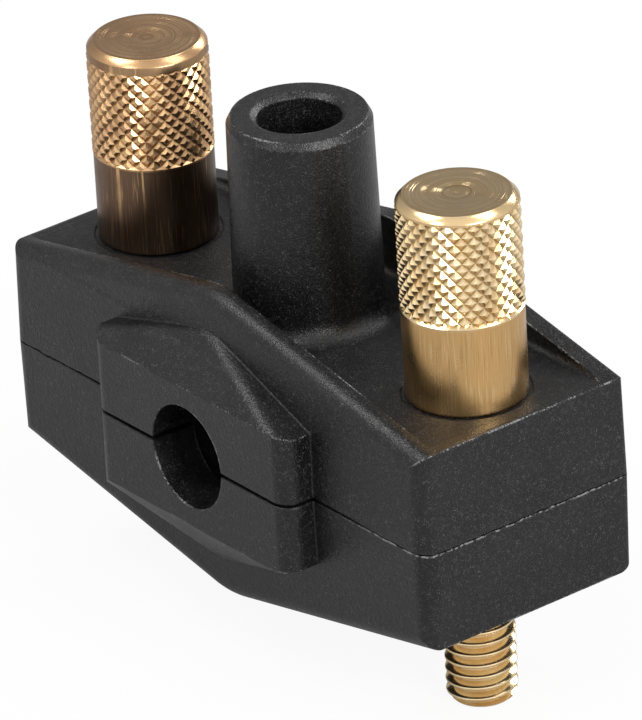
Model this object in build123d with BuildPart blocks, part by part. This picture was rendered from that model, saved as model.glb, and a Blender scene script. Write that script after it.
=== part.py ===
"""Split clamp block for a small tube, with a port tube on top and two thumbscrews.

The origin is the middle of the tube bore, on the plane where the two halves meet.
+X runs along the line of the screws, +Y along the tube bore, +Z up the port tube.
All lengths are in millimetres and all angles in degrees.
"""
from build123d import *
import os
from math import radians, tan

os.makedirs("parts", exist_ok=True)

# Body: two moulded halves that meet on Z = 0, each under a shallow roof
body_length = 54.5            # along X, where the halves meet
body_width = 21.2             # along Y, where the halves meet
end_height = 8.7              # from the parting plane to the roof at an end face
roof_angle = 11.2             # slope of the roof
ridge_radius = 9.5            # rounding along the top of the roof
wall_draft = 1.0              # lean of the outer walls, so that a half leaves its mould
front_corner_radius = 1.5     # upright corners at the front
back_corner_radius = 0.5      # upright corners at the back
front_edge_radius = 1.35      # long roof edge at the front
upper_back_edge_radius = 0.3  # long roof edge at the back, upper half
lower_back_edge_radius = 1.1  # the same edge of the lower half

# Bosses that grip the tube, one on each long wall
boss_left = -12.45            # left end, along X
boss_right = 13.0             # right end
boss_reach = 2.8              # how far the front face stands off the wall
boss_left_height = 7.2        # roof height at the left end
boss_right_height = 5.9       # roof height at the right end
boss_peak = 10.7              # roof height over the bore, before rounding
boss_lip_height = 6.3         # height of the front face
boss_slope_top = 10.4         # where the sloped front would meet the wall
boss_peak_radius = 4.5
boss_slope_radius = 1.4       # blend between the boss's roof and its sloped front
boss_corner_radius = 1.6

# Bore for the tube, with a wider chamber behind the two gripping lands
bore_diameter = 9.0
land_length = 4.2             # from a boss's face to the chamber
chamber_diameter = 10.4
gap_height = 0.42             # the halves bow apart in the middle by this much in all
contact_length = 3.25         # along X, where the faces still touch at each end

# Pocket in the roof of the upper half
pocket_floor = 8.8            # height of its floor
rim_thickness = 1.9           # wall left along each long side
floor_radius = 0.5            # rounding where the floor meets a rim

# Port tube, which rises from the pocket and opens into the chamber
port_diameter = 7.0
port_tube_diameter = 11.96    # at the shoulder below the top chamfer
port_top = 26.45
port_draft = 0.9
port_chamfer_width = 0.35
port_chamfer_height = 0.65
mouth_chamfer_width = 0.46
mouth_chamfer_height = 0.37
port_foot_clearance = 0.35    # flat left between the port's foot and the floor's rounding

# Thumbscrews
screw_to_end = 7.05           # from a screw's axis to the end face
head_diameter = 10.0
head_top = 26.42
head_chamfer_width = 0.53
head_chamfer_height = 0.54
collar_length = 0.5           # plain band above the knurl
knurl_length = 8.75
knurl_rise = 0.06             # how far the rolled knurl stands proud
head_foot_chamfer = 0.45
stud_diameter = 5.9
right_stud_below_body = 8.8   # stud past the underside, on the screw's axis
left_stud_below_body = 7.6
stud_end_chamfer = 0.45
neck_length = 1.5             # plain undercut below the head
neck_depth = 0.5

# Screw seats and threaded inserts
seat_diameter = 10.7
seat_depth = 0.1
hole_clearance = 0.35         # round the stud in the plastic
thread_clearance = 0.05       # round the stud in the insert
insert_diameter = 8.6
insert_length = 7.6
insert_setback = 0.2          # below the parting plane
insert_groove_width = 1.6
insert_groove_depth = 0.6

# Sizes that follow from the ones above
half_length = body_length / 2
half_width = body_width / 2
slope = tan(radians(roof_angle))
roof_peak = end_height + slope * half_length
boss_face = half_width + boss_reach
front_slope = (boss_slope_top - boss_lip_height) / boss_reach
chamber_length = 2 * (boss_face - land_length)
gap_reach = half_length - contact_length
port_radius = port_diameter / 2
port_shoulder = port_tube_diameter / 2
port_side_height = port_top - port_chamfer_height - pocket_floor
port_foot = port_shoulder + tan(radians(port_draft)) * port_side_height
port_foot_room = half_width - rim_thickness - floor_radius - port_foot
port_foot_radius = port_foot_room - port_foot_clearance
screw_x = half_length - screw_to_end
seat_height = pocket_floor - seat_depth
roof_at_screw = roof_peak - slope * screw_x
head_radius = head_diameter / 2
stud_radius = stud_diameter / 2
knurl_top = head_top - head_chamfer_height - collar_length
knurl_foot = knurl_top - knurl_length
screw_hole_radius = stud_radius + hole_clearance
beyond = 5.0                  # how far a cutting tool runs past what it cuts


def roofed_block(back_edge_radius):
    """Drafted block under the V roof: the form that both halves start from."""
    with BuildPart() as block:
        with BuildSketch(Plane.XY):
            Rectangle(body_length, body_width)
        extrude(amount=roof_peak, taper=wall_draft)
        with BuildSketch(Plane.XZ) as side:
            with BuildLine():
                Polyline(
                    (-half_length - beyond, 0),
                    (-half_length - beyond, end_height - slope * beyond),
                    (0, roof_peak),
                    (half_length + beyond, end_height - slope * beyond),
                    (half_length + beyond, 0),
                    close=True,
                )
            make_face()
            fillet(side.vertices().sort_by(Axis.Y)[-1], ridge_radius)
        extrude(amount=half_width + beyond, both=True, mode=Mode.INTERSECT)
        long_edges = block.edges().filter_by(lambda edge: abs(edge.tangent_at(0.5).X) > 0.9)
        roof_edges = long_edges.filter_by(lambda edge: edge.center().Z > end_height / 2)
        fillet(roof_edges.filter_by(lambda edge: edge.center().Y < 0), front_edge_radius)
        long_edges = block.edges().filter_by(lambda edge: abs(edge.tangent_at(0.5).X) > 0.9)
        roof_edges = long_edges.filter_by(lambda edge: edge.center().Z > end_height / 2)
        fillet(roof_edges.filter_by(lambda edge: edge.center().Y > 0), back_edge_radius)
        with BuildSketch(Plane.XY) as plan:
            Rectangle(body_length, body_width)
            fillet(plan.vertices().group_by(Axis.Y)[0], front_corner_radius)
            fillet(plan.vertices().group_by(Axis.Y)[-1], back_corner_radius)
        extrude(amount=roof_peak, taper=wall_draft, mode=Mode.INTERSECT)
    return block.part


def front_boss():
    """Boss on the front wall: a steeper V roof, cut back to a low front face."""
    root = half_width - boss_reach
    with BuildPart() as boss:
        with BuildSketch(Plane.XZ.offset(root)) as end_view:
            with BuildLine():
                Polyline(
                    (boss_left, 0),
                    (boss_left, boss_left_height),
                    (0, boss_peak),
                    (boss_right, boss_right_height),
                    (boss_right, 0),
                    close=True,
                )
            make_face()
            fillet(end_view.vertices().sort_by(Axis.Y)[-1], boss_peak_radius)
        extrude(amount=boss_face - root)
        with BuildSketch(Plane.YZ):
            with BuildLine():
                Polyline(
                    (-boss_face, boss_lip_height),
                    (-half_width, boss_slope_top),
                    (-root, boss_slope_top + (half_width - root) * front_slope),
                    (-root, boss_peak + beyond),
                    (-boss_face - beyond, boss_peak + beyond),
                    (-boss_face - beyond, boss_lip_height),
                    close=True,
                )
            make_face()
        extrude(amount=boss_right - boss_left, both=True, mode=Mode.SUBTRACT)
        sloped_front = boss.faces().filter_by(GeomType.PLANE).filter_by(
            lambda face: face.normal_at().Y < -0.3 and face.normal_at().Z > 0.3
        )
        ridge = sloped_front.edges().filter_by(
            lambda edge: edge.center().Z > boss_lip_height + 0.2
            and -boss_face + 0.2 < edge.center().Y < -root - 0.2
            and abs(edge.tangent_at(0.5).X) > 0.3
        )
        fillet(ridge, boss_slope_radius)
        with BuildSketch(Plane.XY) as plan:
            with Locations(((boss_left + boss_right) / 2, -boss_face)):
                Rectangle(
                    boss_right - boss_left, 2 * boss_reach, align=(Align.CENTER, Align.MIN)
                )
            fillet(plan.vertices().group_by(Axis.Y)[0], boss_corner_radius)
        extrude(amount=boss_peak, mode=Mode.INTERSECT)
    return boss.part


def clamp_half(back_edge_radius):
    """One half without its screw holes: roofed block, both bosses, bore and chamber."""
    with BuildPart() as half:
        add(roofed_block(back_edge_radius))
        add(front_boss())
        add(mirror(front_boss(), about=Plane.XZ))
        with BuildSketch(Plane.XZ):
            Circle(bore_diameter / 2)
        extrude(amount=boss_face + beyond, both=True, mode=Mode.SUBTRACT)
        with BuildSketch(Plane.XZ):
            Circle(chamber_diameter / 2)
        extrude(amount=chamber_length / 2, both=True, mode=Mode.SUBTRACT)
        with BuildSketch(Plane.XZ):
            with BuildLine():
                ThreePointArc((-gap_reach, 0), (0, gap_height / 2), (gap_reach, 0))
                Line((gap_reach, 0), (-gap_reach, 0))
            make_face()
        extrude(amount=boss_face + beyond, both=True, mode=Mode.SUBTRACT)
    return half.part


with BuildPart() as upper_half:
    add(clamp_half(upper_back_edge_radius))
    with BuildSketch(Plane.XY.offset(pocket_floor)):
        Rectangle(body_length + beyond, body_width - 2 * rim_thickness)
    extrude(amount=roof_peak, mode=Mode.SUBTRACT)
    crease = upper_half.edges().filter_by(Axis.X).filter_by_position(
        Axis.Z, pocket_floor - 0.01, pocket_floor + 0.01
    )
    fillet(crease, floor_radius)
    with BuildSketch(Plane.XZ):
        with BuildLine():
            Polyline(
                (0, pocket_floor),
                (port_foot, pocket_floor),
                (port_shoulder, port_top - port_chamfer_height),
                (port_shoulder - port_chamfer_width, port_top),
                (0, port_top),
                close=True,
            )
        make_face()
    revolve(axis=Axis.Z)
    foot = upper_half.edges().filter_by(GeomType.CIRCLE).filter_by_position(
        Axis.Z, pocket_floor - 0.01, pocket_floor + 0.01
    )
    fillet(foot, port_foot_radius)
    with BuildSketch(Plane.XZ):
        with BuildLine():
            Polyline(
                (0, chamber_diameter / 4),
                (port_radius, chamber_diameter / 4),
                (port_radius, port_top - mouth_chamfer_height),
                (port_radius + mouth_chamfer_width, port_top),
                (port_radius + mouth_chamfer_width, port_top + beyond),
                (0, port_top + beyond),
                close=True,
            )
        make_face()
    revolve(axis=Axis.Z, mode=Mode.SUBTRACT)
    with BuildSketch(Plane.XY.offset(seat_height)):
        with Locations((-screw_x, 0), (screw_x, 0)):
            Circle(seat_diameter / 2)
    extrude(amount=head_top, mode=Mode.SUBTRACT)
    with BuildSketch(Plane.XY):
        with Locations((-screw_x, 0), (screw_x, 0)):
            Circle(screw_hole_radius)
    extrude(amount=seat_height, mode=Mode.SUBTRACT)


def threaded_insert(x):
    """Brass bush moulded into the lower half; its waist keeps it from pulling out."""
    top = -insert_setback
    bottom = top - insert_length
    middle = (top + bottom) / 2
    wall = insert_diameter / 2
    waist = wall - insert_groove_depth
    with BuildPart() as bush:
        with BuildSketch(Plane.XZ) as section:
            with BuildLine():
                Polyline(
                    (x + stud_radius + thread_clearance, top),
                    (x + wall, top),
                    (x + wall, middle + insert_groove_width / 2),
                    (x + waist, middle + insert_groove_width / 2),
                    (x + waist, middle - insert_groove_width / 2),
                    (x + wall, middle - insert_groove_width / 2),
                    (x + wall, bottom),
                    (x + stud_radius + thread_clearance, bottom),
                    close=True,
                )
            make_face()
        revolve(axis=Axis((x, 0, 0), (0, 0, 1)))
    return bush.part


def thumbscrew(x, stud_below_body):
    """Turned brass screw: a tall head on a stud that reaches out below the body."""
    stud_end = -(roof_at_screw + stud_below_body)
    knurl_radius = head_radius + knurl_rise
    neck_radius = stud_radius - neck_depth
    with BuildPart() as screw:
        with BuildSketch(Plane.XZ) as section:
            with BuildLine():
                Polyline(
                    (x, head_top),
                    (x + head_radius - head_chamfer_width, head_top),
                    (x + head_radius, head_top - head_chamfer_height),
                    (x + head_radius, knurl_top),
                    (x + knurl_radius, knurl_top - knurl_rise),
                    (x + knurl_radius, knurl_foot + knurl_rise),
                    (x + head_radius, knurl_foot),
                    (x + head_radius, seat_height + head_foot_chamfer),
                    (x + head_radius - head_foot_chamfer, seat_height),
                    (x + neck_radius, seat_height),
                    (x + neck_radius, seat_height - neck_length),
                    (x + stud_radius, seat_height - neck_length - neck_depth),
                    (x + stud_radius, stud_end + stud_end_chamfer),
                    (x + stud_radius - stud_end_chamfer, stud_end),
                    (x, stud_end),
                    close=True,
                )
            make_face()
        revolve(axis=Axis((x, 0, 0), (0, 0, 1)))
    return screw.part


with BuildPart() as left_insert:
    add(threaded_insert(-screw_x))

with BuildPart() as right_insert:
    add(threaded_insert(screw_x))

with BuildPart() as lower_half:
    add(mirror(clamp_half(lower_back_edge_radius), about=Plane.XY))
    with BuildSketch(Plane.XY):
        with Locations((-screw_x, 0), (screw_x, 0)):
            Circle(screw_hole_radius)
    extrude(amount=-(roof_peak + beyond), mode=Mode.SUBTRACT)
    add(left_insert.part, mode=Mode.SUBTRACT)
    add(right_insert.part, mode=Mode.SUBTRACT)

with BuildPart() as left_thumbscrew:
    add(thumbscrew(-screw_x, left_stud_below_body))

with BuildPart() as right_thumbscrew:
    add(thumbscrew(screw_x, right_stud_below_body))

lower_half.part.label = "lower_half"
upper_half.part.label = "upper_half"
left_insert.part.label = "left_threaded_insert"
right_insert.part.label = "right_threaded_insert"
left_thumbscrew.part.label = "left_thumbscrew"
right_thumbscrew.part.label = "right_thumbscrew"

export_step(lower_half.part, "parts/lower_half.step")
export_step(upper_half.part, "parts/upper_half.step")
export_step(left_insert.part, "parts/left_threaded_insert.step")
export_step(right_insert.part, "parts/right_threaded_insert.step")
export_step(left_thumbscrew.part, "parts/left_thumbscrew.step")
export_step(right_thumbscrew.part, "parts/right_thumbscrew.step")
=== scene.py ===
# %% [markdown]
# # Split tube clamp block
#
# The object is a small clamp. Two moulded black plastic halves close round a tube, and two
# brass thumbscrews draw them together. The solids come from CAD and are loaded as a fixed
# frame. This lesson gives them their finish: a charcoal plastic with the grain of a spark
# eroded mould, and thumbscrews with a real knurl and a real thread in place of plain bars.
# Everything is in metres, in the CAD's own axes: +X along the line of the screws, +Y along
# the tube bore and +Z up the port tube.

# %% Load the frame
from math import cos, pi, radians, sin

import bpy
from mathutils import Matrix, Vector


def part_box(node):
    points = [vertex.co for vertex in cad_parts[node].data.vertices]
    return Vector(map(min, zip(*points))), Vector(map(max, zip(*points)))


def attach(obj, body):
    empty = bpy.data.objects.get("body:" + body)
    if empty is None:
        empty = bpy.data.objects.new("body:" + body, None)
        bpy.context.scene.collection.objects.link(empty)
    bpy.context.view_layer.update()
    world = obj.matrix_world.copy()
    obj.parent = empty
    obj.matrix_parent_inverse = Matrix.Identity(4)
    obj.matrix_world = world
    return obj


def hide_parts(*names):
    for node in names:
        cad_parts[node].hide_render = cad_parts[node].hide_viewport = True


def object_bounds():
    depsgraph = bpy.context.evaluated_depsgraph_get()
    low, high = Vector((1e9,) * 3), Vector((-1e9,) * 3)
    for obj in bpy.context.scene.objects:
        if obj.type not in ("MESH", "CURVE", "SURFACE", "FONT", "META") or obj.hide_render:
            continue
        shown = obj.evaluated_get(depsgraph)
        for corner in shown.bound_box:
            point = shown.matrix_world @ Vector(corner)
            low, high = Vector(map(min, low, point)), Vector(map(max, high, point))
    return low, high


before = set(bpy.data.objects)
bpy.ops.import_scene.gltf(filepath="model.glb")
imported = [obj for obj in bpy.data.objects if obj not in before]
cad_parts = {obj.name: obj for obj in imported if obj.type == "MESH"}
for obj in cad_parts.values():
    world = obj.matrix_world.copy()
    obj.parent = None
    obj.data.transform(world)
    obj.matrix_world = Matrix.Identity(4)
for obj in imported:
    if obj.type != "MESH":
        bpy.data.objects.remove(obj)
cad_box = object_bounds()
MM = 0.001


def in_mm(box):
    """A box's corners in millimetres, for printing."""
    return [[round(value / MM, 2) for value in corner] for corner in box]


print("CAD box in mm:", in_mm(cad_box))

# %% [markdown]
# ## Working cleanly
#
# An operator acts on everything that is selected, and the CAD solids are selected when they
# arrive. So every step starts with nothing selected. A finished piece has its origin at the
# world's origin and its place in its own mesh, which keeps the materials' patterns where they
# are when the piece is moved or exported.


# %% Helpers for selection and place
def start_clean():
    """Leaves edit mode and deselects everything, so that an operator acts on new work alone."""
    if bpy.context.object and bpy.context.object.mode != "OBJECT":
        bpy.ops.object.mode_set(mode="OBJECT")
    bpy.ops.object.select_all(action="DESELECT")
    bpy.context.tool_settings.mesh_select_mode = (True, False, False)


def select_one(piece):
    """Makes a piece the only selected object, and the active one."""
    start_clean()
    piece.select_set(True)
    bpy.context.view_layer.objects.active = piece


def settle(piece):
    """Puts the object's origin at the world origin and keeps its place in the mesh."""
    select_one(piece)
    bpy.ops.object.transform_apply(location=True, rotation=True, scale=True)


start_clean()
print("selected after start_clean:", len(bpy.context.selected_objects))

# %% [markdown]
# ## Camera
#
# A small product is best seen from far off through a long lens, so that upright edges stay
# nearly parallel. The camera could be placed by hand, but numbers are easier to mend: its
# direction from the block, its distance and a small roll. It aims a little above the middle
# of the bore.

# %% Camera
camera_azimuth = radians(53.105)
camera_elevation = radians(26.938)
camera_roll = radians(-3.372)
camera_distance = 854.7 * MM
aim_right = 0.395 * MM
aim_up = 3.595 * MM
focal_length = 522.8          # in millimetres, for a film 36 mm wide

backward = Vector((
    sin(camera_azimuth) * cos(camera_elevation),
    -cos(camera_azimuth) * cos(camera_elevation),
    sin(camera_elevation),
))
level_right = Vector((cos(camera_azimuth), sin(camera_azimuth), 0))
level_up = backward.cross(level_right)
right = cos(camera_roll) * level_right + sin(camera_roll) * level_up
up = cos(camera_roll) * level_up - sin(camera_roll) * level_right

camera_data = bpy.data.cameras.new("camera")
camera_data.lens = focal_length
camera_data.sensor_width = 36
camera_data.clip_start = 0.05
camera_data.clip_end = 20
camera = bpy.data.objects.new("camera", camera_data)
bpy.context.scene.collection.objects.link(camera)
turn = Matrix((right, up, backward)).transposed().to_4x4()
place = Matrix.Translation(right * aim_right + up * aim_up + backward * camera_distance)
camera.matrix_world = place @ turn
bpy.context.scene.camera = camera
print("camera stands at", [round(value, 3) for value in camera.matrix_world.translation])

# %% [markdown]
# ## Studio
#
# The block stands on the ends of its screws on a pale floor, in a white room. Shiny things
# show the room around them, so the room matters as much as the lamps. It could be built
# from white cards, but a world that answers each kind of ray is simpler. Light Path shows the
# plain white room to the camera, and nearly the same to reflections, and lets a lower, plain
# level of light fall on matt surfaces. For reflections the side behind the block is darker:
# a studio would hang a black cloth there, and it gives black plastic its depth.


# %% Helpers for light
def seen_directly(nodes, links):
    """Two masks: one for camera, shiny and clear rays together, and one for the camera's alone."""
    light_path = nodes.new("ShaderNodeLightPath")
    total = light_path.outputs["Is Camera Ray"]
    for kind in ("Is Glossy Ray", "Is Transmission Ray"):
        add = nodes.new("ShaderNodeMath")
        add.operation = "MAXIMUM"
        links.new(total, add.inputs[0])
        links.new(light_path.outputs[kind], add.inputs[1])
        total = add.outputs[0]
    return total, light_path.outputs["Is Camera Ray"]


def mix_values(nodes, links, factor, low, high):
    """Blends two values, each a socket or a plain number."""
    blend = nodes.new("ShaderNodeMix")
    links.new(factor, blend.inputs["Factor"])
    for slot, value in (("A", low), ("B", high)):
        if isinstance(value, (int, float)):
            blend.inputs[slot].default_value = value
        else:
            links.new(value, blend.inputs[slot])
    return blend.outputs["Result"]


bpy.context.scene.view_settings.view_transform = "Standard"
print("view transform:", bpy.context.scene.view_settings.view_transform)

# %% World
room_light = 0.40             # what falls on matt surfaces
white = 1.0
dark_side_level = 0.40
dark_side = Vector((-0.713, 0.535, 0.453))
darkest_from = 0.85           # cosine of the angle from the dark side's middle
world = bpy.data.worlds.new("studio")
bpy.context.scene.world = world
world.use_nodes = True
nodes, links = world.node_tree.nodes, world.node_tree.links
background = nodes["Background"]
background.inputs["Color"].default_value = (1, 1, 1, 1)
sky_direction = nodes.new("ShaderNodeTexCoord")
toward_dark = nodes.new("ShaderNodeVectorMath")
toward_dark.operation = "DOT_PRODUCT"
toward_dark.inputs[1].default_value = dark_side
links.new(sky_direction.outputs["Generated"], toward_dark.inputs[0])
room = nodes.new("ShaderNodeMapRange")
for slot, value in (
    ("From Min", 0.0), ("From Max", darkest_from), ("To Min", white), ("To Max", dark_side_level)
):
    room.inputs[slot].default_value = value
links.new(toward_dark.outputs["Value"], room.inputs["Value"])
seen, from_camera = seen_directly(nodes, links)
level = mix_values(nodes, links, seen, room_light, room.outputs["Result"])
level = mix_values(nodes, links, from_camera, level, white)
links.new(level, background.inputs["Strength"])
print("world:", len(nodes), "nodes, light on matt surfaces", room_light)

# %% [markdown]
# ### Floor
#
# The floor is plain paper. The camera sees it glow white, with a share of real paper left in
# so that the block's shadow stays. A floor that glowed as much for reflections would light
# the undersides of the plastic from below, so they see it nearly as the grey paper it is.

# %% Floor
paper_grey = 0.46
glow_strength = 1.05
glow_share_for_camera = 0.88
glow_share_for_shine = 0.05
floor_gap = 0.02 * MM
floor_height = cad_box[0][2] - floor_gap
start_clean()
bpy.ops.mesh.primitive_circle_add(
    vertices=64, radius=3, fill_type="NGON", location=(0, 0, floor_height)
)
floor = bpy.context.object
floor.name = "studio_floor"
settle(floor)
paper = bpy.data.materials.new("pale_floor")
paper.use_nodes = True
nodes, links = paper.node_tree.nodes, paper.node_tree.links
nodes.clear()
output = nodes.new("ShaderNodeOutputMaterial")
matt = nodes.new("ShaderNodeBsdfDiffuse")
matt.inputs["Color"].default_value = (paper_grey, paper_grey, paper_grey, 1)
glow = nodes.new("ShaderNodeEmission")
glow.inputs["Strength"].default_value = glow_strength
blend = nodes.new("ShaderNodeMixShader")
seen, from_camera = seen_directly(nodes, links)
share = mix_values(nodes, links, seen, 0.0, glow_share_for_shine)
share = mix_values(nodes, links, from_camera, share, glow_share_for_camera)
links.new(share, blend.inputs["Fac"])
links.new(matt.outputs[0], blend.inputs[1])
links.new(glow.outputs[0], blend.inputs[2])
links.new(blend.outputs[0], output.inputs["Surface"])
floor.data.materials.append(paper)
print("floor at", round(floor_height / MM, 2), "mm")

# %% [markdown]
# ### Lamps
#
# Softboxes are the lamps of product work: wide and even, so that a turned bar shows a broad
# soft streak and not a hard point. Each is set by the direction it shines from, as seen from
# the block, so that a lamp can be walked round the table by one number.


# %% Lamps
def softbox(name, azimuth, elevation, distance, width, height, power):
    """A rectangular lamp that points at the block, set by its direction from the block."""
    lamp_data = bpy.data.lights.new(name, "AREA")
    lamp_data.shape = "RECTANGLE"
    lamp_data.size = width
    lamp_data.size_y = height
    lamp_data.energy = power
    lamp = bpy.data.objects.new(name, lamp_data)
    bpy.context.scene.collection.objects.link(lamp)
    turn_round, lift = radians(azimuth), radians(elevation)
    lamp.location = distance * Vector((
        sin(turn_round) * cos(lift), -cos(turn_round) * cos(lift), sin(lift)
    ))
    lamp.rotation_euler = lamp.location.to_track_quat("Z", "Y").to_euler()
    lamp.visible_camera = False


for name, azimuth, elevation, distance, width, height, power in (
    ("key_lamp", -34, 58, 0.6, 0.28, 0.26, 1.6),
    ("front_lamp", 10, 38, 0.6, 0.14, 0.24, 0.65),
    ("window_lamp", 87, 25, 0.7, 0.32, 0.30, 4.2),
    ("side_lamp", 125, 55, 0.7, 0.24, 0.36, 1.0),
    ("low_side_lamp", 190, 26, 0.7, 0.22, 0.26, 1.6),
):
    softbox(name, azimuth, elevation, distance, width, height, power)
print("lamps:", [lamp.name for lamp in bpy.data.lights])

# %% [markdown]
# ## Thumbscrews
#
# A thumbscrew is turned from brass bar. Its head has a band of diamond knurling, rolled
# in by two wheels, and its stud has a thread of 1 mm pitch. Both could be faked with a bump
# in the material, but they catch the light and show in the outline, so they are real shapes.

# %% Sizes of a thumbscrew
seat_height = 8.7 * MM
head_radius = 5.0 * MM
top_chamfer_width, top_chamfer_height = 0.53 * MM, 0.54 * MM
foot_chamfer = 0.22 * MM
head_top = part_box("right_thumbscrew")[1][2]
chamfer_foot = head_top - top_chamfer_height
knurl_foot = head_top - 9.79 * MM
knurl_proud = 0.06 * MM       # the knurl's points stand this far off the plain head
stud_radius = 2.95 * MM
stud_end_chamfer = 0.45 * MM
pitch = 1.0 * MM
thread_depth = 0.58 * MM
thread_top = seat_height - 2.0 * MM
print("head top at", round(head_top / MM, 2), "mm, knurl foot at", round(knurl_foot / MM, 2))

# %% [markdown]
# ### Turned parts
#
# A lathe leaves nothing but rings. Spinning an outline would do, but drawing a disc up ring by
# ring gives the same shape with closed ends and even faces, and the outline can be read off
# as pairs of radius and height.


# %% Turned bar
def face_outward():
    """Turns every face of the mesh in edit mode outward, and leaves edit mode."""
    bpy.ops.mesh.select_all(action="SELECT")
    bpy.ops.mesh.normals_make_consistent(inside=False)
    bpy.ops.object.mode_set(mode="OBJECT")


def turned_bar(name, x, outline, segments=96):
    """A closed turned shape: a disc drawn up through the outline's (radius, height) rings."""
    start_clean()
    radius, height = outline[0]
    bpy.ops.mesh.primitive_circle_add(
        vertices=segments, radius=radius, fill_type="NGON", location=(x, 0, height)
    )
    bar = bpy.context.object
    bar.name = name
    bpy.ops.object.mode_set(mode="EDIT")
    for next_radius, next_height in outline[1:]:
        rise = next_height - height
        bpy.ops.mesh.extrude_region_move(TRANSFORM_OT_translate={"value": (0, 0, rise)})
        ratio = next_radius / radius
        bpy.ops.transform.resize(
            value=(ratio, ratio, 1), center_override=(x, 0, next_height)
        )
        radius, height = next_radius, next_height
    face_outward()
    print(name, "turned through", len(outline), "rings,", len(bar.data.polygons), "faces")
    return bar


# %% [markdown]
# ### Knurl
#
# A tube of square faces becomes a diamond pattern in two moves. Poke puts a point in the
# middle of every face, and dissolving the old edges leaves one diamond for each. Then
# every diamond is inset and raised on its own, which makes a field of small pyramids.
# Two crossed helical sweeps would cost far more faces and leave ragged tips.

# %% Sizes of the knurl
diamonds_round = 27
diamond_rows = 9
row_height = 1.165 * MM
print("diamond width in mm:", round(2 * pi * head_radius / diamonds_round / MM, 2))


# %% Tube of square faces
def square_tube(x, bottom, radius):
    """A closed tube of rows of square faces, with every edge of it marked sharp."""
    start_clean()
    bpy.ops.mesh.primitive_circle_add(
        vertices=diamonds_round, radius=radius, fill_type="NGON", location=(x, 0, bottom),
    )
    tube = bpy.context.object
    bpy.ops.object.mode_set(mode="EDIT")
    for row in range(diamond_rows):
        bpy.ops.mesh.extrude_region_move(
            TRANSFORM_OT_translate={"value": (0, 0, row_height)}
        )
    face_outward()
    for edge in tube.data.edges:
        edge.use_edge_sharp = True
    return tube


def select_side(piece):
    """Selects the faces that look sideways, and leaves the two ends out."""
    for face in piece.data.polygons:
        face.select = abs(face.normal.z) < 0.5


def select_nothing(mesh):
    """Clears the selection of points, edges and faces alike."""
    for elements in (mesh.vertices, mesh.edges, mesh.polygons):
        for element in elements:
            element.select = False


# %% Diamonds
def squares_to_diamonds(tube, radius):
    """Pokes the side faces of a square tube and dissolves the old edges between them."""
    select_nothing(tube.data)
    select_side(tube)
    bpy.ops.object.mode_set(mode="EDIT")
    bulge = radius * (1 - cos(pi / diamonds_round))
    bpy.ops.mesh.poke(offset=bulge)
    bpy.ops.object.mode_set(mode="OBJECT")
    select_nothing(tube.data)
    top = diamond_rows * row_height
    for edge in tube.data.edges:
        ends = [tube.data.vertices[index].co.z for index in edge.vertices]
        on_rim = any(all(abs(end - rim) < 1e-6 for end in ends) for rim in (0, top))
        edge.select = edge.use_edge_sharp and not on_rim
    bpy.ops.object.mode_set(mode="EDIT")
    bpy.ops.mesh.select_mode(type="EDGE")
    bpy.ops.mesh.dissolve_edges(use_verts=False)
    bpy.ops.object.mode_set(mode="OBJECT")


# %% Knurled band
def cut_square(cuts, x=0, snap=0.1 * MM):
    """Cuts the mesh in edit mode at each (height, keep what is above), and closes the cut.

    A corner nearer to the cut than snap stays where it is, and the cut runs through it.
    """
    for height, keep_above in cuts:
        bpy.ops.mesh.select_all(action="SELECT")
        bpy.ops.mesh.bisect(
            plane_co=(x, 0, height), plane_no=(0, 0, 1), use_fill=True,
            clear_outer=not keep_above, clear_inner=keep_above, threshold=snap,
        )


def knurled_band(x, knurl_top, groove_half_width, knurl_depth):
    """A closed band of raised diamonds round a core, cut square at both ends."""
    valley_radius = head_radius + knurl_proud - knurl_depth
    bottom = (knurl_top + knurl_foot - diamond_rows * row_height) / 2
    knurl = square_tube(x, bottom, valley_radius)
    squares_to_diamonds(knurl, valley_radius)
    select_side(knurl)
    bpy.ops.object.mode_set(mode="EDIT")
    bpy.ops.mesh.select_mode(type="FACE")
    bpy.ops.mesh.inset(
        thickness=groove_half_width, depth=knurl_depth, use_individual=True
    )
    cut_square(((knurl_top, False), (knurl_foot, True)), x)
    face_outward()
    print("knurl", round(knurl_depth / MM, 2), "mm deep,", len(knurl.data.polygons), "faces")
    return knurl


# %% [markdown]
# ### Thread
#
# The Screw modifier sweeps a short upright line, one pitch tall, round and up the axis.
# The line is the outline of one thread: a dark narrow root and a rounded crest. A
# chamfered bar then trims the sweep with a Boolean, which gives it its flat ends.


# %% Thread's outline
def thread_outline():
    """One thread from root to root, as (radius, share of the pitch)."""
    root = stud_radius - thread_depth
    flank = root + 0.72 * thread_depth
    shoulder = stud_radius - 0.03 * MM
    return (
        (root, 0.00), (root, 0.10), (flank, 0.34), (shoulder, 0.45), (stud_radius, 0.55),
        (shoulder, 0.65), (flank, 0.76), (root, 1.00),
    )


def swept_thread(bottom, turns):
    """The outline of one thread, swept round and up the world's own Z axis."""
    outline = thread_outline()
    start_clean()
    bpy.ops.mesh.primitive_plane_add(size=MM, location=(0, 0, 0))
    thread = bpy.context.object
    bpy.ops.object.mode_set(mode="EDIT")
    bpy.ops.mesh.merge(type="CENTER")
    bpy.ops.transform.translate(value=(outline[0][0], 0, bottom))
    for (radius, share), (next_radius, next_share) in zip(outline, outline[1:]):
        step = (next_radius - radius, 0, (next_share - share) * pitch)
        bpy.ops.mesh.extrude_region_move(TRANSFORM_OT_translate={"value": step})
    bpy.ops.object.mode_set(mode="OBJECT")
    sweep = thread.modifiers.new("sweep", "SCREW")
    sweep.angle = 2 * pi
    sweep.screw_offset = pitch
    sweep.iterations = turns
    sweep.steps = sweep.render_steps = 48
    bpy.ops.object.modifier_apply(modifier="sweep")
    return thread


print("thread outline in mm:", [round(radius / MM, 2) for radius, share in thread_outline()])


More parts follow.
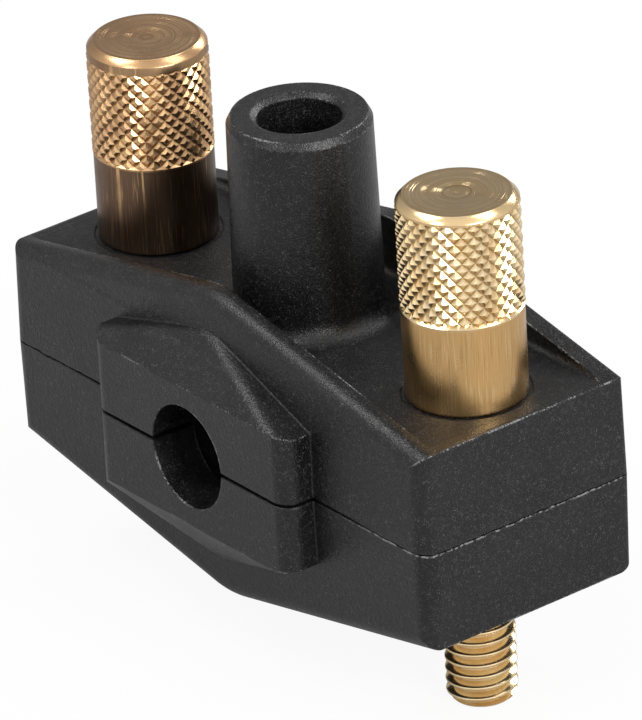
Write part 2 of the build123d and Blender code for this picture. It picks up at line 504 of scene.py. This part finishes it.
# %% Threaded stud
def threaded_stud(x, stud_end):
    """A closed right-hand thread from the neck to the stud's chamfered end."""
    turns = round((thread_top - stud_end) / pitch) + 3
    thread = swept_thread(stud_end - 1.5 * pitch, turns)
    bpy.ops.object.mode_set(mode="EDIT")
    bpy.ops.mesh.select_all(action="SELECT")
    bpy.ops.mesh.remove_doubles(threshold=1e-6)
    past_end = 0.493 * pitch      # within the full turns, and off any ring of the sweep
    cut_square(
        ((stud_end - past_end, True), (thread_top + past_end, False)), snap=0.0001 * MM
    )
    face_outward()

    spare = 0.1 * MM
    bar = turned_bar("trimming_bar", 0, (
        (stud_radius - stud_end_chamfer - spare, stud_end),
        (stud_radius + spare, stud_end + stud_end_chamfer + spare),
        (stud_radius + spare, thread_top - 0.5 * MM),
        (stud_radius - thread_depth, thread_top),
    ))
    select_one(thread)
    trim = thread.modifiers.new("trim", "BOOLEAN")
    trim.operation = "INTERSECT"
    trim.solver = "EXACT"
    trim.object = bar
    bpy.ops.object.modifier_apply(modifier="trim")
    bpy.data.objects.remove(bar)
    thread.location.x = x
    settle(thread)
    print("thread from", round(stud_end / MM, 2), "to", round(thread_top / MM, 2), "mm")
    return thread


# %% [markdown]
# ### One thumbscrew from three parts
#
# The head and its neck are one turned bar with a core under the knurl. The knurl and the
# thread sit over it and are joined to it. Each of the three is closed, so they needn't be
# welded, and the joins lie hidden inside.


# %% Head
def turned_head(name, x, knurl_top, core, mark, mark_depth):
    """Neck, seat, plain part, core of the knurl, chamfer and end face with a ring mark."""
    neck_radius = stud_radius - 0.5 * MM
    hair = 0.001 * MM             # keeps a flat face from lying exactly in line with another
    foot_round = 0.12 * MM
    collar = 0.05 * MM            # a slight swelling that the knurling wheels push up
    soft = 0.03 * MM              # rounding at the chamfer's two edges
    face_radius = head_radius - top_chamfer_width
    return turned_bar(name, x, (
        (neck_radius, thread_top - 0.6 * MM),
        (neck_radius, seat_height),
        (head_radius - foot_chamfer, seat_height + hair),
        (head_radius - foot_round, seat_height + foot_chamfer - foot_round),
        (head_radius, seat_height + foot_chamfer),
        (head_radius, knurl_foot - 0.12 * MM),
        (head_radius + collar, knurl_foot - 0.06 * MM),
        (head_radius + collar, knurl_foot + 0.02 * MM),
        (core, knurl_foot + 0.28 * MM),
        (core, knurl_top - 0.20 * MM),
        (head_radius, knurl_top),
        (head_radius, chamfer_foot - soft),
        (head_radius - soft, chamfer_foot + soft),
        (face_radius + soft, head_top - 0.04 * MM),
        (face_radius - soft, head_top),
        (mark + 0.08 * MM, head_top - hair),
        (mark, head_top - mark_depth),
        (mark - 0.10 * MM, head_top - mark_depth),
        (mark - 0.20 * MM, head_top - 0.010 * MM),
        (0.18 * MM, head_top - 0.012 * MM),
        (0.06 * MM, head_top - 0.05 * MM),
    ))


# %% Whole thumbscrew
def thumbscrew(name, node, plain_rim, groove_half_width, knurl_depth, mark, mark_depth):
    """Turned head and neck, knurled band and threaded stud, joined in one piece."""
    low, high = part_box(node)
    x = (low[0] + high[0]) / 2
    knurl_top = chamfer_foot - plain_rim
    core = head_radius + knurl_proud - knurl_depth - 0.05 * MM
    head = turned_head(name, x, knurl_top, core, mark, mark_depth)
    settle(head)
    knurl = knurled_band(x, knurl_top, groove_half_width, knurl_depth)
    settle(knurl)
    stud = threaded_stud(x, low[2])
    select_one(head)
    knurl.select_set(True)
    stud.select_set(True)
    bpy.ops.object.join()
    bpy.ops.object.shade_smooth_by_angle(angle=radians(28))
    settle(head)
    triangles = sum(len(face.vertices) - 2 for face in head.data.polygons)
    print(name, triangles, "triangles")
    return head


# %% [markdown]
# ### The pair
#
# The two screws come from the same bar, but not from the same pass of the knurling wheels.
# The left one has a wide plain rim above finer, shallower diamonds, and a small mark in the
# middle of its face. The right one has hardly any rim, deeper grooves and a wider mark.

# %% Both thumbscrews
left_screw = thumbscrew(
    "left_knurled_thumbscrew", "left_thumbscrew", plain_rim=0.72 * MM,
    groove_half_width=0.25 * MM, knurl_depth=0.20 * MM, mark=0.55 * MM, mark_depth=0.02 * MM,
)
right_screw = thumbscrew(
    "right_knurled_thumbscrew", "right_thumbscrew", plain_rim=0.20 * MM,
    groove_half_width=0.33 * MM, knurl_depth=0.28 * MM, mark=1.15 * MM, mark_depth=0.025 * MM,
)
for screw, node, body in (
    (left_screw, "left_thumbscrew", "left_screw"),
    (right_screw, "right_thumbscrew", "right_screw"),
):
    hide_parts(node)
    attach(screw, body)
    print(screw.name, "replaces", node)

# %% [markdown]
# ## Node helpers
#
# The finishes are built from the same few nodes over and over: noise, Map Range and Math. A
# short function for each keeps a material readable as one line per idea. Every pattern reads
# Object coordinates, so it is fixed to the part and has its real size.


# %% Helpers for groups and materials
def new_group(name, inputs, outputs):
    """An empty shader node group with named float inputs and outputs."""
    group = bpy.data.node_groups.new(name, "ShaderNodeTree")
    for socket, value in inputs:
        made = group.interface.new_socket(socket, in_out="INPUT", socket_type="NodeSocketFloat")
        made.default_value = value
    for socket in outputs:
        group.interface.new_socket(socket, in_out="OUTPUT", socket_type="NodeSocketFloat")
    entry = group.nodes.new("NodeGroupInput")
    result = group.nodes.new("NodeGroupOutput")
    return group, entry, result


def placed_group(tree, group, **values):
    """A node group placed in a material, with its inputs set."""
    node = tree.nodes.new("ShaderNodeGroup")
    node.node_tree = group
    for socket, value in values.items():
        node.inputs[socket].default_value = value
    return node


def new_material(name):
    """A material with its node tree and its Principled BSDF."""
    material = bpy.data.materials.new(name)
    material.use_nodes = True
    return material, material.node_tree, material.node_tree.nodes["Principled BSDF"]


print("materials so far:", [material.name for material in bpy.data.materials])


# %% Helpers for arithmetic
def math_node(tree, operation, first, second=None):
    """A Math node whose inputs are sockets or plain numbers."""
    node = tree.nodes.new("ShaderNodeMath")
    node.operation = operation
    for slot, value in enumerate((first, second)):
        if value is None:
            continue
        if isinstance(value, (int, float)):
            node.inputs[slot].default_value = value
        else:
            tree.links.new(value, node.inputs[slot])
    return node.outputs[0]


def add(tree, first, second):
    return math_node(tree, "ADD", first, second)


def subtract(tree, first, second):
    return math_node(tree, "SUBTRACT", first, second)


def multiply(tree, first, second):
    return math_node(tree, "MULTIPLY", first, second)


def larger(tree, first, second):
    return math_node(tree, "MAXIMUM", first, second)


def apart(tree, first, second):
    """How far apart two values are, whichever is larger."""
    return math_node(tree, "ABSOLUTE", subtract(tree, first, second))


def remap(tree, value, from_low, from_high, to_low=0.0, to_high=1.0):
    """Map Range, clamped."""
    node = tree.nodes.new("ShaderNodeMapRange")
    for slot, number in zip(
        ("From Min", "From Max", "To Min", "To Max"), (from_low, from_high, to_low, to_high)
    ):
        node.inputs[slot].default_value = number
    tree.links.new(value, node.inputs["Value"])
    return node.outputs["Result"]


def between(tree, value, low, high, soft):
    """One between two limits and zero outside them, with soft ends."""
    rise = remap(tree, value, low - soft, low, 0.0, 1.0)
    fall = remap(tree, value, high, high + soft, 1.0, 0.0)
    return multiply(tree, rise, fall)


print("arithmetic helpers for Blender", bpy.app.version_string)


# %% Helpers for patterns and colours
def noise(tree, scale, detail=2.0):
    """Noise on Object coordinates, with scale in features per metre."""
    place = tree.nodes.new("ShaderNodeTexCoord")
    node = tree.nodes.new("ShaderNodeTexNoise")
    node.inputs["Scale"].default_value = scale
    node.inputs["Detail"].default_value = detail
    tree.links.new(place.outputs["Object"], node.inputs["Vector"])
    return node.outputs["Fac"]


def line_noise(tree, value, scale, detail=2.0):
    """Noise that changes along one value only, with scale in features per unit."""
    node = tree.nodes.new("ShaderNodeTexNoise")
    node.noise_dimensions = "1D"
    node.inputs["Scale"].default_value = scale
    node.inputs["Detail"].default_value = detail
    tree.links.new(value, node.inputs["W"])
    return node.outputs["Fac"]


def split_vector(tree, vector):
    """A vector's X, Y and Z."""
    node = tree.nodes.new("ShaderNodeSeparateXYZ")
    tree.links.new(vector, node.inputs["Vector"])
    return node.outputs["X"], node.outputs["Y"], node.outputs["Z"]


def mix_colours(tree, factor, low, high):
    """Blends two colours, each a socket or a plain colour."""
    node = tree.nodes.new("ShaderNodeMix")
    node.data_type = "RGBA"
    tree.links.new(factor, node.inputs["Factor"])
    for slot, value in (("A", low), ("B", high)):
        if isinstance(value, tuple):
            node.inputs[slot].default_value = (*value, 1)
        else:
            tree.links.new(value, node.inputs[slot])
    return node.outputs["Result"]


print("noise at a scale of 1000 changes every", round(1 / 1000 / MM, 2), "mm")

# %% [markdown]
# ## Moulded plastic
#
# The mould was spark eroded, which leaves a fine even grain of pits on every face, and
# the plastic takes its shine from that grain. Flat plastic with a plain roughness would look
# like a drawing. The grain is a node group, since other finishes can use it too. It gives a
# height for the bump, a mask for pale pores, one for the odd bright speck and one for slow
# clouds of duller and shinier plastic.

# %% Grain group
grain, entry, result = new_group("spark_grain", (), ("Height", "Pale", "Speck", "Mottle"))
fine_pits, coarse_pits = noise(grain, 8200, 1.0), noise(grain, 3000, 1.0)
pores = noise(grain, 7400, 1.0)
clouds = noise(grain, 230, 4.0)
dots = remap(grain, noise(grain, 9800, 0.0), 0.60, 0.72)
here_and_there = remap(grain, noise(grain, 2100, 1.0), 0.50, 0.64)
for socket, value in (
    ("Height", add(grain, fine_pits, multiply(grain, coarse_pits, 0.7))),
    ("Pale", remap(grain, pores, 0.53, 0.72)),
    ("Speck", multiply(grain, dots, here_and_there)),
    ("Mottle", remap(grain, clouds, 0.38, 0.62)),
):
    grain.links.new(value, result.inputs[socket])
print(grain.name, "has", len(grain.nodes), "nodes")

# %% [markdown]
# ### Worn edges and painted glints
#
# Moulded edges are never dead sharp, and where they are knocked they turn pale. The Bevel
# node gives the normal of an edge rounded in the shading alone. Where that differs from the
# true normal there is an edge, and an Ambient Occlusion node tells an outer edge from an
# inner corner. Noise then breaks the line up, because knocks come at random. The pale edge
# is partly this wear and partly a painted highlight, where lamps would glint on the edge.

# %% Edge group
edges, entry, result = new_group(
    "worn_and_glinting_edges", (("Width", 0.0002), ("Wear_and_glint", 0.5)), ("Edge",)
)
edges.interface.new_socket("Normal", in_out="OUTPUT", socket_type="NodeSocketVector")
rounded = edges.nodes.new("ShaderNodeBevel")
rounded.samples = 6
edges.links.new(entry.outputs["Width"], rounded.inputs["Radius"])
true_shape = edges.nodes.new("ShaderNodeNewGeometry")
agree = edges.nodes.new("ShaderNodeVectorMath")
agree.operation = "DOT_PRODUCT"
edges.links.new(rounded.outputs["Normal"], agree.inputs[0])
edges.links.new(true_shape.outputs["Normal"], agree.inputs[1])
corner = remap(edges, agree.outputs["Value"], 0.995, 0.93)
openness = edges.nodes.new("ShaderNodeAmbientOcclusion")
openness.samples = 6
openness.only_local = True
openness.inputs["Distance"].default_value = 0.6 * MM
outer = remap(edges, openness.outputs["AO"], 0.80, 0.95)
chips, stretches = noise(edges, 4800, 3.0), noise(edges, 420, 2.0)
wear_and_painted_light = add(edges, add(edges, chips, stretches), entry.outputs["Wear_and_glint"])
knocked = remap(edges, subtract(edges, wear_and_painted_light, 1.4), 0.0, 0.10)
mask = multiply(edges, multiply(edges, corner, outer), knocked)
edges.links.new(mask, result.inputs["Edge"])
edges.links.new(rounded.outputs["Normal"], result.inputs["Normal"])
print(edges.name, "has", len(edges.nodes), "nodes")

# %% [markdown]
# ### Parting line
#
# Where the two halves meet, each mould left a thin ragged edge, with pale torn bits toward the
# right end. Along it wanders a dark line of painted shade, where the narrow gap between the halves
# lies in shadow. The group finds the line by height alone, since the halves part at height zero,
# and leaves out the mating faces, which lie at that height too and would be blotched all over when
# the clamp is open.

# %% Parting group
parting, entry, result = new_group("parting_line", (), ("Line", "Torn"))
place = parting.nodes.new("ShaderNodeTexCoord")
along, _, height = split_vector(parting, place.outputs["Object"])
_, _, facing_up = split_vector(parting, place.outputs["Normal"])
on_wall = math_node(parting, "LESS_THAN", math_node(parting, "ABSOLUTE", facing_up), 0.7)
toward_end = remap(parting, along, 16 * MM, 22 * MM, 0.0, 1.0)

wander = multiply(parting, subtract(parting, noise(parting, 1000, 4.0), 0.5), 0.30 * MM)
level = add(parting, height, wander)
breadth = remap(parting, noise(parting, 1100, 2.0), 0.35, 0.70, 0.35, 1.0)
breadth = multiply(parting, breadth, remap(parting, toward_end, 0, 1, 1.0, 0.55))
off_line = math_node(parting, "DIVIDE", math_node(parting, "ABSOLUTE", level), breadth)
# The dark line is painted shade, where the gap between the halves lies in shadow.
line = remap(parting, off_line, 0.09 * MM, 0.14 * MM, 1.0, 0.0)
parting.links.new(multiply(parting, line, on_wall), result.inputs["Line"])

bits = remap(parting, noise(parting, 2600, 3.0), 0.47, 0.58)
below = math_node(parting, "ABSOLUTE", add(parting, level, 0.12 * MM))
torn = multiply(parting, bits, remap(parting, below, 0.06 * MM, 0.12 * MM, 1.0, 0.0))
torn = multiply(parting, multiply(parting, torn, toward_end), on_wall)
parting.links.new(torn, result.inputs["Torn"])
print(parting.name, "has", len(parting.nodes), "nodes")

# %% [markdown]
# ### Charcoal plastic
#
# The plastic is nearly black, and what is seen of it is mostly its shine. Knocks and a painted
# highlight gather at the right end, with a painted glint at the near corner, and the pocket under
# the screw heads is sheltered from knocks but scuffed dull by the heads. So the wear and painted
# glint that go into the edge group are worked out first, from the place on the part, and the
# colours are laid on after it.

# %% Where the plastic is knocked, and where a glint is painted
plastic, tree, shader = new_material("charcoal_plastic")
shader.inputs["IOR"].default_value = 1.42
texture = placed_group(tree, grain)
edge = placed_group(tree, edges, Width=0.26 * MM)
seam = placed_group(tree, parting)
place = tree.nodes.new("ShaderNodeTexCoord")
along, _, height = split_vector(tree, place.outputs["Object"])

# Wear and painted highlight along the right end's edges, and a painted glint at the near corner.
knocks_and_glint = remap(tree, along, 12 * MM, 26 * MM, 0.33, 0.39)
near_corner = tree.nodes.new("ShaderNodeVectorMath")
near_corner.operation = "DISTANCE"
near_corner.inputs[1].default_value = (cad_box[1][0], cad_box[0][1], seat_height)
tree.links.new(place.outputs["Object"], near_corner.inputs[0])
painted_corner_glint = remap(tree, near_corner.outputs["Value"], 1.0 * MM, 4.0 * MM, 0.35, 0.0)
knocks_and_glint = add(tree, knocks_and_glint, painted_corner_glint)

at_seat = remap(tree, apart(tree, height, seat_height), 0.2 * MM, 0.5 * MM, 0.6, 0.0)
off_ends = math_node(tree, "LESS_THAN", math_node(tree, "ABSOLUTE", along), 26 * MM)
in_pocket = multiply(tree, at_seat, off_ends)
at_parting = remap(
    tree, math_node(tree, "ABSOLUTE", height), 0.4 * MM, 0.7 * MM, 0.6, 0.0)
knocks_and_glint = subtract(tree, knocks_and_glint, larger(tree, in_pocket, at_parting))
tree.links.new(knocks_and_glint, edge.inputs["Wear_and_glint"])
print(plastic.name, "wear worked out with", len(tree.nodes), "nodes")

# %% Plastic colour
black_dull, black_shiny = (0.0028, 0.0028, 0.0030), (0.0048, 0.0048, 0.0050)
colour = mix_colours(tree, texture.outputs["Mottle"], black_dull, black_shiny)
for mask, tint in (
    (texture.outputs["Pale"], (0.024, 0.024, 0.025)),
    (texture.outputs["Speck"], (0.060, 0.061, 0.062)),
    # Pale edges: partly real wear, partly painted highlight, brightest as a painted glint at the
    # near corner.
    (edge.outputs["Edge"], (0.27, 0.27, 0.277)),
    (seam.outputs["Torn"], (0.18, 0.18, 0.184)),
    # the dark parting line: painted shade of the gap between the halves
    (seam.outputs["Line"], (0.0015, 0.0015, 0.0015)),
):
    colour = mix_colours(tree, mask, colour, tint)
tree.links.new(colour, shader.inputs["Base Color"])
print("plastic colours:", black_dull, "to", black_shiny)

# %% [markdown]
# The painted shade of the parting gap would still shine as plastic, and vanish under a lamp. Metal
# of the same near black has no second, clear shine, so the painted shade is made metallic and
# rough, and it stays dark.

# %% Plastic surface
rough = remap(tree, texture.outputs["Mottle"], 0, 1, 0.27, 0.35)
rough = larger(tree, rough, multiply(tree, seam.outputs["Line"], 0.8))
rough = larger(tree, rough, multiply(tree, in_pocket, 0.72))
tree.links.new(rough, shader.inputs["Roughness"])
tree.links.new(seam.outputs["Line"], shader.inputs["Metallic"])
bump = tree.nodes.new("ShaderNodeBump")
bump.inputs["Distance"].default_value = 0.06 * MM
bump.inputs["Strength"].default_value = 0.7
groove = multiply(tree, seam.outputs["Line"], 1.5)
tree.links.new(subtract(tree, texture.outputs["Height"], groove), bump.inputs["Height"])
tree.links.new(edge.outputs["Normal"], bump.inputs["Normal"])
tree.links.new(bump.outputs["Normal"], shader.inputs["Normal"])
for half in ("lower_half", "upper_half"):
    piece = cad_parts[half]
    piece.data.materials.clear()
    piece.data.materials.append(plastic)
    print(half, "is", plastic.name)

# %% [markdown]
# ## Brass
#
# The two thumbscrews are turned from the same brass, but they haven't aged alike. The right
# one is still golden, and the left one has gone brown below its knurl, where oil and air
# reach it and no finger rubs it clean. Both show the marks of the lathe: rings round the end
# face, very fine grooves round the side, and upright rub marks across them. One node group
# makes these marks from the distance to the screw's own axis, so it serves both.

# %% Lathe marks group
lathe, entry, result = new_group(
    "lathe_marks", (), ("Height", "Rings", "Rubs", "Up", "Round", "Out"))
lathe.interface.new_socket("Axis", in_out="INPUT", socket_type="NodeSocketVector")
place = lathe.nodes.new("ShaderNodeTexCoord")
from_axis = lathe.nodes.new("ShaderNodeVectorMath")
from_axis.operation = "SUBTRACT"
lathe.links.new(place.outputs["Object"], from_axis.inputs[0])
lathe.links.new(entry.outputs["Axis"], from_axis.inputs[1])
out_x, out_y, upward = split_vector(lathe, from_axis.outputs["Vector"])
squares = add(lathe, multiply(lathe, out_x, out_x), multiply(lathe, out_y, out_y))
radius = math_node(lathe, "SQRT", squares)
around = math_node(lathe, "ARCTAN2", out_y, out_x)

# %% Rings, grooves and rub marks
rings, fine_rings = line_noise(lathe, radius, 3200, 3.0), line_noise(lathe, radius, 9500, 1.0)
grooves = line_noise(lathe, upward, 16000)
unrolled = lathe.nodes.new("ShaderNodeCombineXYZ")
lathe.links.new(multiply(lathe, around, 46.0), unrolled.inputs["X"])
lathe.links.new(multiply(lathe, upward, 240.0), unrolled.inputs["Y"])
rubbing = lathe.nodes.new("ShaderNodeTexNoise")
rubbing.inputs["Scale"].default_value = 1.0
rubbing.inputs["Detail"].default_value = 3.0
lathe.links.new(unrolled.outputs["Vector"], rubbing.inputs["Vector"])
rubs = rubbing.outputs["Fac"]
face_only = math_node(lathe, "GREATER_THAN", upward, head_top - 0.07 * MM)
turned = add(lathe, multiply(lathe, rings, 1.2), multiply(lathe, fine_rings, 6.0))
height = multiply(lathe, turned, face_only)
height = add(lathe, height, multiply(lathe, grooves, 0.25))
height = add(lathe, height, multiply(lathe, rubs, 0.25))
for socket, value in (
    ("Height", height), ("Rings", rings), ("Rubs", rubs), ("Up", upward), ("Round", around),
    ("Out", radius),
):
    lathe.links.new(value, result.inputs[socket])
print(lathe.name, "has", len(lathe.nodes), "nodes")

# %% [markdown]
# ### Layers of the brass
#
# Brass ages in layers, and the material is built up in the same order. First comes the metal,
# clean or a little dull, with painted shade on one side. Then comes painted shade in the knurl's
# valleys and on the end face, and the tool mark on the end face, then the patina on the parts that
# no finger rubs, with painted shade on one side. Each layer is a function of a few shares, so both
# screws go through the same steps with their own amounts.

# %% Directions on a screw
side_shade_from = radians(-150)     # the side where shade is painted on the bare metal
patina_shade_from = radians(35)       # the side where shade is painted on the patina
print("dull side and dark side in radians:", round(side_shade_from, 2), round(patina_shade_from, 2))


# %% Bare metal
def bare_metal(tree, marks, clean, dull, side_shade):
    """Clean brass that dulls in clouds, along the rings and on the chamfer, with painted shade on
    one side.
    """
    up, around = marks.outputs["Up"], marks.outputs["Round"]
    cloud = remap(tree, noise(tree, 420, 4.0), 0.38, 0.68)
    facing = math_node(tree, "COSINE", subtract(tree, around, side_shade_from))
    # Painted shade on one side of the bare metal.
    painted_side_shade = multiply(tree, remap(tree, facing, 0.1, 1.0), side_shade)
    on_face = math_node(tree, "GREATER_THAN", up, head_top - 0.03 * MM)
    ring_marks = multiply(
        tree, remap(tree, marks.outputs["Rings"], 0.40, 0.60, 0.0, 0.9), on_face)
    on_chamfer = multiply(
        tree, between(tree, up, chamfer_foot, head_top - 0.05 * MM, 0.02 * MM), 0.75)
    wear_and_painted_light = larger(tree, larger(tree, cloud, painted_side_shade), ring_marks)
    return mix_colours(tree, larger(tree, wear_and_painted_light, on_chamfer), clean, dull), cloud, on_face


print("chamfer from", round(chamfer_foot / MM, 2), "to", round(head_top / MM, 2), "mm")

# %% Painted shade and tool mark
valley_floor = head_radius + knurl_proud - 0.26 * MM


def shade_and_mark_mask(tree, marks, on_face, valley_shade_share, face_shade, centre_mark, mark_tone):
    """A mask for painted shade in the knurl's valleys and on the end face, and for the ring mark
    on it.
    """
    up, out = marks.outputs["Up"], marks.outputs["Out"]
    in_knurl = between(tree, up, knurl_foot, head_top - 0.8 * MM, 0.05 * MM)
    valley = remap(tree, out, valley_floor, valley_floor + 0.15 * MM, 1.0, 0.0)
    # Painted shade in the knurl's valleys.
    valley_shade = multiply(tree, multiply(tree, in_knurl, valley), valley_shade_share)
    circle = between(tree, out, centre_mark - 0.06 * MM, centre_mark + 0.06 * MM, 0.05 * MM)
    circle = multiply(tree, multiply(tree, circle, on_face), mark_tone)
    # The end face is darkened by painted shade.
    return larger(tree, valley_shade, larger(tree, circle, multiply(tree, on_face, face_shade)))


print("dirt lies thickest within", round(valley_floor / MM, 2), "mm of the axis")


# %% Patina
def patina_cover(tree, marks, patina_share, rim, rub_lines):
    """Masks for the patina on the plain part and the rim, and for the plain part alone."""
    up, around = marks.outputs["Up"], marks.outputs["Round"]
    on_side = between(tree, up, seat_height, knurl_foot - 0.2 * MM, 0.1 * MM)
    on_rim = between(
        tree, up, chamfer_foot - rim + 0.05 * MM, chamfer_foot - 0.02 * MM, 0.04 * MM)
    covered = larger(tree, on_side, multiply(tree, on_rim, 0.6))
    rubbed = remap(tree, marks.outputs["Rubs"], 0.34, 0.42, 0.6, 1.0)
    cover = multiply(tree, multiply(tree, covered, rubbed), patina_share)
    fade = remap(tree, up, seat_height + 1 * MM, knurl_foot, 0.1, 1.0)
    for angle, half_width in rub_lines:
        off = apart(tree, around, radians(angle))
        clear = multiply(tree, remap(tree, off, half_width, 2 * half_width, 0.9, 0.0), fade)
        cover = multiply(tree, cover, subtract(tree, 1.0, clear))
    return cover, on_side


def patina_colour(tree, marks, patina, dark, depth):
    """Painted shade darkens the patina on one side of the screw, and the patina is darker down
    toward the seat.
    """
    away = math_node(tree, "COSINE", subtract(tree, marks.outputs["Round"], patina_shade_from))
    # Painted shade on one side of the patina.
    deep = remap(tree, away, -0.2, 0.9, 0.0, depth)
    low_down = remap(tree, marks.outputs["Up"], seat_height, knurl_foot, 0.45 * depth, 0.0)
    return mix_colours(tree, larger(tree, deep, low_down), patina, dark)


print("patina from", round(seat_height / MM, 2), "to", round(knurl_foot / MM, 2), "mm")


# %% Turned brass
def turned_brass(
    name, node, clean, dull, patina, patina_share, haze, side_shade, rim, rub_lines, valley_shade_share,
    face_shade, centre_mark, mark_tone, gloss, depth
):
    """Brass with lathe marks about its node's axis and a patina where no finger rubs it."""
    low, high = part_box(node)
    material, tree, shader = new_material(name)
    shader.inputs["Metallic"].default_value = 1.0
    marks = placed_group(tree, lathe, Axis=((low[0] + high[0]) / 2, 0, 0))
    dark = tuple(0.40 * value for value in patina)

    colour, cloud, on_face = bare_metal(tree, marks, clean, dull, side_shade)
    # Painted shade in the valleys and on the end face, and the ring mark, all in the dark colour.
    painted_shade_and_mark = shade_and_mark_mask(tree, marks, on_face, valley_shade_share, face_shade, centre_mark, mark_tone)
    colour = mix_colours(tree, painted_shade_and_mark, colour, dark)
    cover, on_side = patina_cover(tree, marks, patina_share, rim, rub_lines)
    colour = mix_colours(tree, cover, colour, patina_colour(tree, marks, patina, dark, depth))
    streaks = remap(tree, marks.outputs["Rubs"], 0.52, 0.70, 0.0, 0.40)
    colour = mix_colours(tree, multiply(tree, streaks, on_side), colour, dark)
    tree.links.new(colour, shader.inputs["Base Color"])

    rough = remap(tree, cloud, 0.0, 1.0, gloss, gloss + 0.07)
    rough = add(tree, rough, multiply(tree, cover, haze))
    tree.links.new(rough, shader.inputs["Roughness"])
    bump = tree.nodes.new("ShaderNodeBump")
    bump.inputs["Distance"].default_value = 0.008 * MM
    bump.inputs["Strength"].default_value = 1.0
    tree.links.new(marks.outputs["Height"], bump.inputs["Height"])
    tree.links.new(bump.outputs["Normal"], shader.inputs["Normal"])
    print(name, "has", len(tree.nodes), "nodes")
    return material


# %% [markdown]
# ### Golden and brown
#
# The right screw's patina is only a warmer gold, and its end face is a little darker with painted
# shade. The left one's is a deep brown, with painted shade on one side, that two rub marks cut
# through, near the front, where something scraped it. The inserts in the lower half are the same
# brass as the screws above them.

# %% Both finishes
bright_brass = turned_brass(
    "bright_brass", "right_thumbscrew",
    clean=(0.93, 0.74, 0.46), dull=(0.80, 0.56, 0.28), patina=(0.62, 0.37, 0.145),
    patina_share=0.9, haze=0.12, side_shade=0.0, rim=0.20 * MM, rub_lines=(), valley_shade_share=0.45,
    face_shade=0.32, centre_mark=1.15 * MM, mark_tone=0.6, gloss=0.16, depth=0.0,
)
aged_brass = turned_brass(
    "aged_brass", "left_thumbscrew",
    clean=(0.80, 0.51, 0.26), dull=(0.46, 0.27, 0.14), patina=(0.17, 0.105, 0.07),
    patina_share=0.97, haze=0.12, side_shade=0.9, rim=0.72 * MM,
    rub_lines=((-74, 0.022), (-48.5, 0.009)), valley_shade_share=0.7, face_shade=0.0,
    centre_mark=0.55 * MM, mark_tone=0.15, gloss=0.23, depth=0.9,
)
for piece, finish in (
    (left_screw, aged_brass), (right_screw, bright_brass),
    (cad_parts["left_threaded_insert"], aged_brass),
    (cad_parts["right_threaded_insert"], bright_brass),
):
    piece.data.materials.clear()
    piece.data.materials.append(finish)
    print(piece.name, "is", finish.name)
